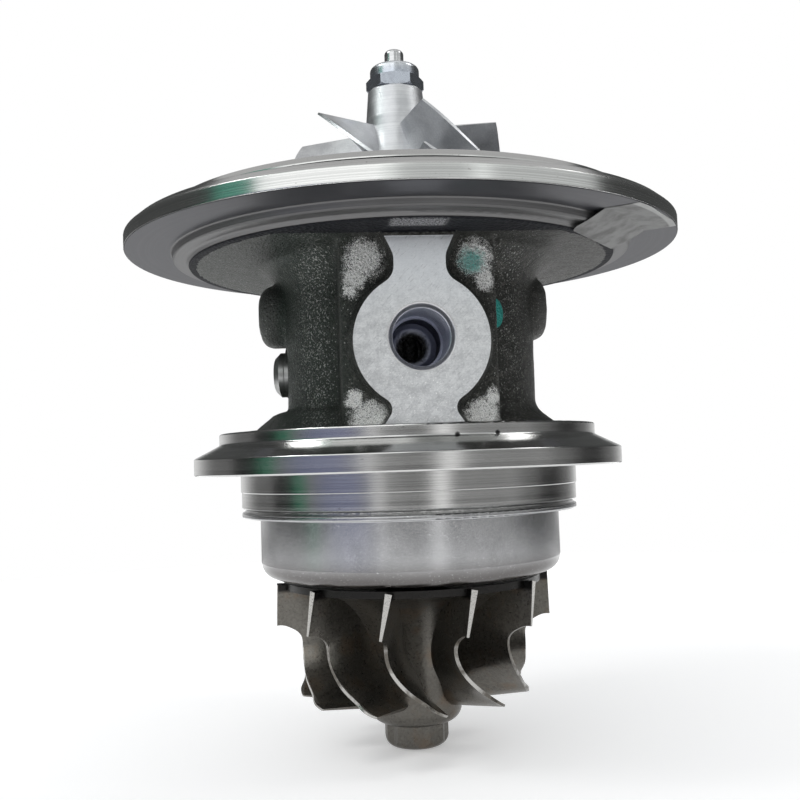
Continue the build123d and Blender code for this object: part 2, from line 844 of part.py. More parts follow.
def o_ring(floor_radius, section_radius, level):
    """O-ring that lies on a groove floor."""
    centre = floor_radius + section_radius + o_ring_play
    section = Plane.XZ * Pos(centre, level) * Circle(section_radius)
    return revolve(section, Axis.Z, 360)


def seal_plate_o_ring():
    """O-ring in the rim of the seal plate."""
    floor_radius = seal_plate_radius - o_ring_groove_depth
    section = (seal_plate_bore - floor_radius) / 2 - o_ring_play
    return o_ring(floor_radius, section, (plate_top_level + seal_seat_level) / 2)


def cover_o_ring():
    """O-ring in the groove under the cover spigot, a little proud of it."""
    section = cover_groove_width / 2 - o_ring_play
    floor_radius = cover_spigot_radius - cover_groove_depth
    return o_ring(floor_radius, section, cover_groove_level + cover_groove_width / 2)


def seal_plate_snap_ring():
    """Internal snap ring with two plier lugs."""
    outer = seal_plate_bore + seal_ring_bite
    inner = outer - seal_ring_width
    top = seal_ring_level + seal_ring_thickness
    body = split_ring(inner, outer, seal_ring_level, top, seal_ring_gap, -90)
    lug_at = inner - seal_ring_lug_radius + seal_ring_lug_sink
    lug = extrude(Circle(seal_ring_lug_radius), seal_ring_thickness)
    hole = extrude(Circle(seal_ring_lug_hole), top + overrun - seal_ring_level)
    for side in (-1, 1):
        turn = side * (seal_ring_gap / 2 + seal_ring_lug_turn)
        body += Pos(*polar(lug_at, turn, seal_ring_level)) * lug
        body -= Pos(*polar(lug_at, turn, seal_ring_level)) * hole
    return body


def side_plug():
    """Domed plug with a hex socket and a plain thread core."""
    seat = washer_thickness
    top = seat + plug_head_height
    head = turned([
        (0, -plug_thread_length),
        (plug_thread_radius, -plug_thread_length, plug_tip_round),
        (plug_thread_radius, seat),
        (plug_head_radius, seat, plug_rim_round),
        (plug_head_radius, top - plug_dome),
        (plug_head_radius - plug_dome, top, plug_dome_round),
        (0, top),
    ])
    socket = RegularPolygon(plug_hex / 2, 6, major_radius=False)
    head -= Pos(0, 0, top - plug_socket_depth) * extrude(socket, plug_socket_depth + overrun)
    return radial(plug_angle, plug_height, plug_seat_reach) * head


def plug_washer():
    """Sealing washer under the side plug."""
    flat = ring(plug_thread_radius + thread_clearance, washer_radius, 0, washer_thickness)
    return radial(plug_angle, plug_height, plug_seat_reach) * flat


def blank_sticker():
    """Bare sticker under the compressor flange, drawn tight over the lip and down to the land."""
    lip_level = flange_under_level - underside_lip_height
    path = [
        (flange_radius - sticker_edge_gap, flange_under_level),
        (underside_lip_radius + sticker_bridge, flange_under_level),
        (underside_lip_radius, lip_level),
        (underside_land_radius, land_under_level),
        (underside_land_radius - underside_lip_width, land_under_level),
    ]
    lower = [(radius, level - sticker_thickness) for radius, level in path]
    skin = turned(path + lower[::-1])
    shape = RectangleRounded(sticker_length, sticker_width, sticker_corner)
    middle = flange_radius - sticker_inset - sticker_width / 2
    prism = extrude(Pos(0, -middle) * shape, diffuser_level)
    return skin & Rot(0, 0, sticker_angle) * prism


# Floating bushes

def floating_bush(start):
    """Bronze bush that floats on oil inside and outside, with radial oil holes."""
    bore = journal_radius + bush_inner_clearance
    end = start + bush_length
    bush = turned([
        (bore, start + bush_chamfer),
        (bore + bush_chamfer, start),
        (bush_radius - bush_chamfer, start),
        (bush_radius, start + bush_chamfer),
        (bush_radius, end - bush_chamfer),
        (bush_radius - bush_chamfer, end),
        (bore + bush_chamfer, end),
        (bore, end - bush_chamfer),
    ])
    for step in range(bush_oil_hole_count):
        angle = 360 * step / bush_oil_hole_count
        middle = start + bush_length / 2
        bush -= radial_cylinder(angle, middle, bush_oil_hole_radius, bore - overrun, bush_radius + overrun)
    return bush


# Rotor

def rotor_shaft():
    """Shaft with the sealing hub, two journals, a stub for the wheel and the turned tip."""
    ring_low = turbine_ring_level
    ring_high = ring_low + piston_ring_thickness + 2 * piston_ring_side_play
    ring_floor = turbine_seal_bore - piston_ring_fit - piston_ring_width - piston_ring_root_play
    waist_radius = journal_radius - shaft_relief
    tip_level = nut_top_level + shaft_tip_height
    journal_foot = seal_hub_top_level + slinger_neck_length
    return turned([
        (0, weld_level),
        (seal_hub_radius, weld_level),
        (seal_hub_radius, ring_low),
        (ring_floor, ring_low),
        (ring_floor, ring_high),
        (seal_hub_radius, ring_high),
        (seal_hub_radius, seal_hub_top_level, machined_edge),
        (slinger_neck_radius, seal_hub_top_level, machined_edge),
        (slinger_neck_radius, journal_foot, slinger_neck_round),
        (journal_radius, journal_foot, machined_edge),
        (journal_radius, turbine_bush_end + bush_wall),
        (waist_radius, turbine_bush_end + bush_wall + shaft_relief),
        (waist_radius, compressor_bush_start - bush_wall - shaft_relief),
        (journal_radius, compressor_bush_start - bush_wall),
        (journal_radius, shaft_shoulder_level),
        (shaft_stub_radius, shaft_shoulder_level),
        (shaft_stub_radius, nut_top_level),
        (shaft_tip_radius, nut_top_level),
        (shaft_tip_radius, tip_level, shaft_tip_round),
        (0, tip_level),
    ])


def thrust_ring():
    """Steel ring below the thrust bearing, on the shaft shoulder."""
    bore = shaft_stub_radius + stub_clearance
    return turned([
        (bore, shaft_shoulder_level),
        (thrust_disc_radius, shaft_shoulder_level, thrust_edge_round),
        (thrust_disc_radius, thrust_ring_top, thrust_face_round),
        (bore, thrust_ring_top),
    ])


def thrust_sleeve():
    """Steel sleeve above the thrust bearing with its running collar and the ring groove."""
    bore = shaft_stub_radius + stub_clearance
    ring_low = compressor_ring_foot
    ring_high = ring_low + piston_ring_thickness + 2 * piston_ring_side_play
    ring_floor = seal_bore_radius - piston_ring_fit - piston_ring_width - piston_ring_root_play
    collar_top = thrust_collar_level + thrust_collar_thickness
    return turned([
        (bore, thrust_ring_top),
        (thrust_sleeve_hub_radius, thrust_ring_top),
        (thrust_sleeve_hub_radius, thrust_collar_level),
        (thrust_disc_radius, thrust_collar_level, thrust_face_round),
        (thrust_disc_radius, collar_top, machined_edge),
        (seal_sleeve_radius, collar_top, thrust_edge_round),
        (seal_sleeve_radius, ring_low),
        (ring_floor, ring_low),
        (ring_floor, ring_high),
        (seal_sleeve_radius, ring_high),
        (seal_sleeve_radius, compressor_back_level),
        (bore, compressor_back_level),
    ])


def blade(roots, tips, root_thickness, tip_thickness):
    """Blade through matching root and tip points, thinner at the tips and at both ends."""
    sections = []
    last = len(roots) - 1
    for index in range(last + 1):
        before = max(index - 1, 0)
        after = min(index + 1, last)
        along = (roots[after] + tips[after]) - (roots[before] + tips[before])
        across = tips[index] - roots[index]
        normal = along.cross(across).normalized()
        from_end = min(index, last - index) / last
        share = blade_end_thickness + (1 - blade_end_thickness) * min(1, from_end / blade_end_length)
        root = normal * (root_thickness * share / 2)
        tip = normal * (tip_thickness * share / 2)
        corners = [roots[index] - root, tips[index] - tip, tips[index] + tip, roots[index] + root]
        sections.append(Wire.make_polygon(corners, close=True))
    return Solid.make_loft(sections)


def compressor_angle(share):
    """Turn of the shroud line from the leading edge, in degrees, at a share of its length."""
    return compressor_wrap * share + compressor_wrap_bend * share ** 2 + compressor_wrap_ease * share ** 3


def compressor_blade(start, turn):
    """Full blade, or a splitter that starts part of the way along."""
    hub_level = diffuser_level + compressor_hub_height
    tip_level = diffuser_level + compressor_inducer_height
    roots = []
    tips = []
    for step in range(compressor_stations + 1):
        share = start + (1 - start) * step / compressor_stations
        bend = share * pi / 2
        root_radius = compressor_radius - (compressor_radius - compressor_hub_radius) * cos(bend)
        root_height = hub_level - compressor_hub_height * sin(bend)
        tip_radius = compressor_radius - (compressor_radius - compressor_inducer_radius) * cos(bend)
        tip_height = tip_level - (compressor_inducer_height - compressor_blade_height) * sin(bend)
        angle = turn + compressor_angle(share)
        root = polar(root_radius, angle - compressor_lean, root_height)
        tip = polar(tip_radius, angle, tip_height)
        roots.append(root - (tip - root).normalized() * compressor_blade_sink)
        tips.append(tip)
    return blade(roots, tips, compressor_blade_root, compressor_blade_tip)


def compressor_hub():
    """Hub of the compressor wheel: back disc, elliptic flank, nose and bore."""
    flank_top = diffuser_level + compressor_hub_height
    lower = diffuser_level - compressor_rim_thickness
    bore = shaft_stub_radius + stub_clearance
    reach = compressor_radius - compressor_hub_radius
    centre = (compressor_radius, flank_top)
    flank = EllipticalCenterArc(centre, reach, compressor_hub_height, 180, arc_size=90)
    nose = Polyline(
        (compressor_hub_radius, flank_top),
        (compressor_hub_radius, flank_top + compressor_nose_foot),
        (compressor_nose_radius, nut_seat_level - compressor_nose_chamfer),
        (compressor_nose_radius - compressor_nose_chamfer, nut_seat_level),
        (bore, nut_seat_level),
        (bore, lower),
        (compressor_radius, lower),
        (compressor_radius, diffuser_level),
    )
    outline = Plane.XZ * make_face([flank, nose])
    return revolve(outline, Axis.Z, 360)


def compressor_wheel():
    """Aluminium wheel with full blades and splitters between them."""
    pitch = 360 / compressor_blade_count
    blades = []
    for step in range(compressor_blade_count):
        turn = compressor_lead_angle + pitch * step
        blades.append(compressor_blade(0, turn))
        blades.append(compressor_blade(splitter_start, turn + pitch / 2))
    return compressor_hub() + blades


def shaft_nut():
    """Nut with a hexagon below and a round hub with a domed top above."""
    hexagon = Rot(0, 0, nut_hex_angle) * RegularPolygon(nut_hex / 2, 6, major_radius=False)
    body = Pos(0, 0, nut_seat_level) * extrude(hexagon, nut_hex_height)
    corner = nut_hex / 2 / cos(radians(30))
    envelope = turned([
        (0, nut_seat_level),
        (corner - nut_hex_chamfer, nut_seat_level),
        (corner, nut_seat_level + nut_hex_chamfer),
        (corner, nut_hex_top - nut_hex_chamfer),
        (corner - 2 * nut_hex_chamfer, nut_hex_top),
        (0, nut_hex_top),
    ])
    hub = turned([
        (0, nut_hex_top - overrun),
        (nut_hub_radius, nut_hex_top - overrun),
        (nut_hub_radius, nut_top_level, nut_hub_round),
        (0, nut_top_level),
    ])
    nut = (body & envelope) + hub
    return nut - disc(shaft_stub_radius + thread_clearance, nut_seat_level - overrun, nut_top_level + overrun)


def turbine_angle(level):
    """Turn of the turbine blade surface at a level: leaned at the inlet, curled back at the outlet."""
    turning_level = turbine_back_level - turbine_turning_drop
    if level > turning_level:
        share = (level - turning_level) / turbine_turning_drop
        return turbine_lean_angle + turbine_lean * share ** turbine_lean_power
    share = (turning_level - level) / (turbine_blade_length - turbine_turning_drop)
    return turbine_lean_angle + turbine_wrap * share ** turbine_wrap_power


def turbine_shroud_point(share):
    """Radius and level of the outer blade edge: a rounded shoulder, then a nearly straight run."""
    start_level = turbine_back_level - turbine_tip_width
    shoulder_level = start_level - turbine_shoulder_drop
    end_level = turbine_back_level - turbine_blade_length
    if share < turbine_shoulder_share:
        bend = share / turbine_shoulder_share * pi / 2
        radius = turbine_tip_radius - (turbine_tip_radius - turbine_shoulder_radius) * sin(bend)
        return radius, start_level - turbine_shoulder_drop * (1 - cos(bend))
    run = (share - turbine_shoulder_share) / (1 - turbine_shoulder_share)
    radius = turbine_shoulder_radius + (turbine_exducer_radius - turbine_shoulder_radius) * run
    return radius, shoulder_level + (end_level - shoulder_level) * run


def turbine_blade():
    """Turbine blade from its tall inlet edge to its trailing edge."""
    hub_end = turbine_back_level - turbine_hub_length
    root_top = turbine_back_level - turbine_blade_inset
    root_end = turbine_back_level - turbine_blade_length - turbine_trailing_drop
    root_inner = turbine_hub_radius - turbine_blade_sink
    last_bend = acos((root_end - hub_end) / (root_top - hub_end))
    roots = []
    tips = []
    for step in range(turbine_stations + 1):
        share = step / turbine_stations
        bend = share * last_bend
        root_radius = turbine_tip_radius - (turbine_tip_radius - root_inner) * sin(bend)
        root_level = hub_end + (root_top - hub_end) * cos(bend)
        tip_radius, tip_level = turbine_shroud_point(share)
        roots.append(polar(root_radius, turbine_angle(root_level), root_level))
        tips.append(polar(tip_radius, turbine_angle(tip_level), tip_level))
    return blade(roots, tips, turbine_blade_root, turbine_blade_tip)


def turbine_hub():
    """Hub of the turbine wheel: weld boss, back disc, elliptic flank and rounded end."""
    disc_level = turbine_back_level - turbine_disc_rim
    flank_end = turbine_back_level - turbine_hub_length
    end_level = flank_end - turbine_nose_length
    reach = turbine_disc_radius - turbine_hub_radius
    round_start = end_level + turbine_hub_round
    round_middle = turbine_hub_round * (1 - cos(pi / 4))
    centre = (turbine_disc_radius, flank_end)
    flank = EllipticalCenterArc(centre, reach, disc_level - flank_end, 180, arc_size=-90)
    end_round = ThreePointArc(
        (turbine_hub_radius - turbine_hub_round, end_level),
        (turbine_hub_radius - round_middle, end_level + round_middle),
        (turbine_hub_radius, round_start),
    )
    outline = Polyline(
        (turbine_disc_radius, disc_level),
        (turbine_disc_radius, turbine_back_level),
        (seal_hub_radius, turbine_back_level),
        (seal_hub_radius, weld_level),
        (0, weld_level),
        (0, end_level),
        (turbine_hub_radius - turbine_hub_round, end_level),
    )
    side = Line((turbine_hub_radius, round_start), (turbine_hub_radius, flank_end))
    return revolve(Plane.XZ * make_face([flank, outline, end_round, side]), Axis.Z, 360)


def driving_boss():
    """Boss with twelve rounded points under the turbine hub, for a socket."""
    corners = []
    for step in range(2 * boss_points):
        radius = boss_radius - boss_valley * (step % 2)
        angle = boss_angle + 180 * step / boss_points
        corners.append(polar(radius, angle, 0))
    star = make_face(Polyline(*corners, close=True))
    top = turbine_back_level - turbine_hub_length - turbine_nose_length
    foot = top - boss_length
    body = Pos(0, 0, foot) * extrude(star, boss_length + overrun)
    envelope = turned([
        (0, foot),
        (boss_radius, foot, boss_round),
        (boss_radius, top + overrun),
        (0, top + overrun),
    ])
    return body & envelope


def turbine_wheel():
    """Cast turbine wheel with its blades and driving boss."""
    wheel = turbine_hub() + driving_boss()
    vane = turbine_blade()
    blades = [Rot(0, 0, 360 * step / turbine_blade_count) * vane for step in range(turbine_blade_count)]
    return wheel + blades


nodes = {
    "bearing_housing": bearing_housing(),
    "heat_shield": heat_shield(),
    "seal_plate": seal_plate(),
    "seal_plate_o_ring": seal_plate_o_ring(),
    "seal_plate_snap_ring": seal_plate_snap_ring(),
    "cover_o_ring": cover_o_ring(),
    "thrust_bearing": thrust_bearing(),
    "thrust_dowels": thrust_dowels(),
    "oil_deflector": oil_deflector(),
    "turbine_piston_ring": piston_ring(turbine_seal_bore, turbine_ring_level, turbine_ring_gap_at),
    "compressor_piston_ring": piston_ring(seal_bore_radius, compressor_ring_foot, compressor_ring_gap_at),
    "turbine_bush_ring": bush_snap_ring(turbine_bush_ring_level, bush_ring_gap_at),
    "compressor_bush_inner_ring": bush_snap_ring(inner_bush_ring_level, inner_bush_ring_gap_at),
    "compressor_bush_outer_ring": bush_snap_ring(outer_bush_ring_level, bush_ring_gap_at),
    "side_plug": side_plug(),
    "side_plug_washer": plug_washer(),
    "blank_sticker": blank_sticker(),
    "turbine_journal_bearing": floating_bush(turbine_bush_start),
    "compressor_journal_bearing": floating_bush(compressor_bush_start),
    "rotor_shaft": rotor_shaft(),
    "thrust_ring": thrust_ring(),
    "thrust_sleeve": thrust_sleeve(),
    "compressor_wheel": compressor_wheel(),
    "shaft_nut": shaft_nut(),
    "turbine_wheel": turbine_wheel(),
}

os.makedirs("parts", exist_ok=True)
for name, shape in nodes.items():
    export_step(shape, f"parts/{name}.step")
    print(name, "volume", round(shape.volume, 1), "solids", len(shape.solids()))
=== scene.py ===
import json
from math import cos, hypot, radians, sin

import bmesh
import bpy
from mathutils import Matrix, Vector, noise
from mathutils.bvhtree import BVHTree


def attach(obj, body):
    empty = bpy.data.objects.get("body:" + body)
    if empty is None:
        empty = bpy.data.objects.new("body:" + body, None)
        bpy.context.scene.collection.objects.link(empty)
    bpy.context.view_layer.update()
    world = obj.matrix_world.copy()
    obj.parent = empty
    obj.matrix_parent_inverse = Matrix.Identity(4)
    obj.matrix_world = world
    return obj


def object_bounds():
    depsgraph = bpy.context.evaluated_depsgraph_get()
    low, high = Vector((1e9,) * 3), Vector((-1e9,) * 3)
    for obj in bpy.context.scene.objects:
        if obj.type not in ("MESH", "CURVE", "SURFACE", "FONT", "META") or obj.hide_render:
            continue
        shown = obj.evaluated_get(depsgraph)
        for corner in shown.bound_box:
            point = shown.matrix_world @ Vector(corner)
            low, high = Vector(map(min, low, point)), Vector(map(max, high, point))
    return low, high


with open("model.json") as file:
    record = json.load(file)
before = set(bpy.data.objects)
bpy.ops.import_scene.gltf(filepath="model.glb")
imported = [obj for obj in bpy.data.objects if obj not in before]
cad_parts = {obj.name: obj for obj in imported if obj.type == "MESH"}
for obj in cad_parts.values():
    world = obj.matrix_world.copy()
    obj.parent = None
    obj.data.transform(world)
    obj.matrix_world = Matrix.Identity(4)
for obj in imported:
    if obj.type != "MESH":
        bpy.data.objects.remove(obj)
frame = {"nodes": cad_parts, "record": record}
cad_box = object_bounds()
MM = 0.001

# Camera: where the photographer stood, in millimetres and degrees
camera_distance = 245.739
camera_height = 2.7407
camera_azimuth = -5.4
camera_yaw = -0.3238
camera_pitch = 3.3902
camera_roll = -1.9314
camera_focal_pixels = 982.83
picture_pixels = 800
sensor_width = 36.0
camera_clip = 10.0

# Levels, radii and reaches of the housing, in millimetres
spigot_foot = -8.4
clamp_start_radius = 38.7
land_top = 9.8
land_top_radius = 46.1
cast_land_level = 50.2
land_under = 50.4
land_under_radius = 52.2
flange_under = 53.8
under_start_radius = 50.0
rim_start_radius = 56.0
lip_radius = 56.6
flange_radius = 67.5
cavity_radius = 24.5
side_reach = 29.5
pad_reach = 42.0
pad_top = 49.3
block_reach = 37.6
front_half = 15.0

# Oil inlet, oil drain and side plug, in millimetres and degrees; the thread in radians per millimetre
port_height = 28.0
port_radius = 6.19
port_chamfer_radius = 7.45
port_end = -20.0
thread_end = -30.0
thread_rate = 4.19
pilot_start = -29.0
drain_reach = 40.0
drain_height = 30.0
drain_radius = 9.0
drain_bolt_offset = 22.0
drain_bolt_radius = 3.4
plug_angle = -98.0
plug_height = 24.6
plug_seat_radius = 6.4
plug_zone_top = 34.0

# Nut, shield and turbine wheel, in millimetres
nut_seat = 95.9
nut_top = 102.1
shield_foot = -24.3
shroud_radius = 27.3
shroud_start = -39.4
disc_edge = 31.2
disc_level = -27.2
hub_radius = 11.5
tip_radius = 33.3

# Marks on the housing, in millimetres. A painted highlight in a pocket beside the pad has x, z and size
pocket_highlight_spots = (
    (-11.5, 45.4, 6.2), (-13.6, 41.2, 4.0), (-14.6, 38.6, 2.6),
    (12.6, 45.2, 5.8), (14.4, 40.6, 3.6),
    (-11.4, 11.2, 6.2), (-14.4, 15.4, 3.0),
    (13.0, 11.0, 5.8), (15.4, 15.2, 2.8),
)
nicks_at = ((6.1, -45.8, 7.2), (14.8, -43.7, 7.4))
nick_size = 0.8
bare_x = (-6.5, 5.0)
bare_y = (-52.0, -46.0)
bare_z = (50.2, 50.6)
dab_x, dab_z, dab_size = 11.8, 44.6, 3.6
stain_x, stain_z, stain_size, stain_squeeze = 18.9, 35.0, 3.1, 1.7

# Cast skin over the rough outside of the housing, in millimetres, with its borders counted in edges
skin_voxel = 0.55
skin_smoothing = 10
skin_offset = 0.13
skin_lumps = 0.13
skin_lump_size = 3.1
skin_grain = 0.07
skin_grain_size = 1.15
skin_unevenness = 0.8
skin_least_rise = 0.02
skin_sink = 0.14
skin_border = 4
skin_sunk_border = 2

# Studio floor, in millimetres
floor_radius = 460.0
floor_gap = 0.2

# Lamps: place, width and height in metres, power in watts
lamp_target = (0, 0, 0.03)
lamps = {
    "key": ((-0.48, -0.66, 0.62), 0.9, 0.9, 2.1),
    "left": ((-0.72, -0.12, 0.72), 0.25, 0.3, 2.2),
    "right": ((0.72, -0.15, 0.72), 0.25, 0.3, 1.3),
    "top": ((0.0, 0.15, 0.95), 1.3, 1.3, 3.0),
}

# Reflected room: each band is from a low to a high azimuth in degrees, with its softness and its strength
low_lights = ((11.6, 19.6, 7.0, 1.15), (-28.0, -22.0, 6.5, 0.65), (60.0, 72.0, 8.0, 0.10))
low_flags = ((-106.0, -86.0, 5.0, 0.88), (90.0, 116.0, 9.0, 0.75), (-8.0, 4.0, 6.0, 0.25))
high_lights = (
    (-60.0, 77.0, 4.0, 0.70),
    (-80.0, -62.0, 4.0, 0.28),
    (-13.0, -6.0, 3.0, 0.60),
    (23.0, 30.0, 3.0, 0.60),
)
high_level = 0.08


class Tree:
    """Short calls for building a node tree."""

    def __init__(self, tree):
        self.tree = tree
        self.tree.nodes.clear()

    def node(self, kind, **settings):
        node = self.tree.nodes.new(kind)
        for name, value in settings.items():
            setattr(node, name, value)
        return node

    def put(self, socket, value):
        """A number, colour or output goes into a socket."""
        if isinstance(value, bpy.types.NodeSocket):
            self.tree.links.new(value, socket)
        elif isinstance(value, tuple) and socket.type == "RGBA":
            socket.default_value = (*value, 1)
        else:
            socket.default_value = value

    def math(self, operation, first, second=0.0):
        node = self.node("ShaderNodeMath", operation=operation)
        self.put(node.inputs[0], first)
        self.put(node.inputs[1], second)
        return node.outputs[0]

    def add(self, *values):
        total = values[0]
        for value in values[1:]:
            total = self.math("ADD", total, value)
        return total

    def times(self, *values):
        product = values[0]
        for value in values[1:]:
            product = self.math("MULTIPLY", product, value)
        return product

    def most(self, *values):
        largest = values[0]
        for value in values[1:]:
            largest = self.math("MAXIMUM", largest, value)
        return largest

    def without(self, share):
        return self.math("SUBTRACT", 1.0, share)

    def length(self, *values):
        squares = [self.math("POWER", value, 2) for value in values]
        return self.math("SQRT", self.add(*squares))

    def combine(self, x, y, z):
        node = self.node("ShaderNodeCombineXYZ")
        for socket, value in zip(node.inputs, (x, y, z)):
            self.put(socket, value)
        return node.outputs[0]

    def between(self, value, low, high, to_low=0.0, to_high=1.0):
        """Value mapped smoothly from one range to another, and held outside it."""
        node = self.node("ShaderNodeMapRange", interpolation_type="SMOOTHSTEP")
        for socket, number in zip(node.inputs, (value, low, high, to_low, to_high)):
            self.put(socket, number)
        return node.outputs[0]

    def window(self, value, low, high, soft=0.15):
        """1 inside a range and 0 outside it."""
        up = self.between(value, low - soft, low + soft)
        down = self.between(value, high - soft, high + soft, 1.0, 0.0)
        return self.times(up, down)

    def mix(self, share, first, second):
        """Colours mixed by a share."""
        node = self.node("ShaderNodeMix", data_type="RGBA")
        self.put(node.inputs[0], share)
        self.put(node.inputs[6], first)
        self.put(node.inputs[7], second)
        return node.outputs[2]

    def blend(self, share, first, second):
        """Numbers mixed by a share."""
        node = self.node("ShaderNodeMix", data_type="FLOAT")
        self.put(node.inputs[0], share)
        self.put(node.inputs[2], first)
        self.put(node.inputs[3], second)
        return node.outputs[0]


class Material(Tree):
    """A Principled material whose patterns are laid out in millimetres."""

    def __init__(self, name):
        self.material = bpy.data.materials.new(name)
        self.material.use_nodes = True
        super().__init__(self.material.node_tree)
        output = self.node("ShaderNodeOutputMaterial")
        self.shader = self.node("ShaderNodeBsdfPrincipled")
        self.put(output.inputs["Surface"], self.shader.outputs[0])
        scaled = self.node("ShaderNodeVectorMath", operation="SCALE")
        self.put(scaled.inputs[0], self.node("ShaderNodeTexCoord").outputs["Object"])
        scaled.inputs["Scale"].default_value = 1 / MM
        self.place = scaled.outputs[0]
        parts = self.node("ShaderNodeSeparateXYZ")
        self.put(parts.inputs[0], self.place)
        self.x, self.y, self.z = parts.outputs
        self.radius = self.length(self.x, self.y)

    def noise(self, scale, detail=3.0, roughness=0.55, place=None):
        """Noise from 0 to 1, with scale as features per millimetre."""
        node = self.node("ShaderNodeTexNoise")
        self.put(node.inputs["Vector"], self.place if place is None else place)
        node.inputs["Scale"].default_value = scale
        node.inputs["Detail"].default_value = detail
        node.inputs["Roughness"].default_value = roughness
        return node.outputs["Fac"]

    def grains(self, scale):
        node = self.node("ShaderNodeTexVoronoi")
        self.put(node.inputs["Vector"], self.place)
        node.inputs["Scale"].default_value = scale
        return node.outputs["Distance"]

    def turning(self, fineness):
        """Rings that a lathe tool leaves, the same all the way round."""
        rings = self.combine(self.times(self.radius, fineness), self.times(self.z, fineness), 0.0)
        return self.noise(1.0, 4.0, 0.7, rings)

    def spot(self, place, size, ragged=0.0):
        """1 near a place in millimetres and 0 beyond its size, with a ragged amount added to the distance."""
        own = (self.x, self.y, self.z)
        away = [self.math("SUBTRACT", mine, other) for mine, other in zip(own, place)]
        return self.between(self.add(self.length(*away), ragged), size * 0.35, size, 1.0, 0.0)

    def bump(self, height, distance, normal=None):
        """Bump of a height from 0 to 1 times a distance in millimetres."""
        node = self.node("ShaderNodeBump")
        node.inputs["Distance"].default_value = distance * MM
        self.put(node.inputs["Height"], height)
        if normal is not None:
            self.put(node.inputs["Normal"], normal)
        return node.outputs[0]

    def set(self, **values):
        for name, value in values.items():
            self.put(self.shader.inputs[name.replace("_", " ")], value)
        return self.material


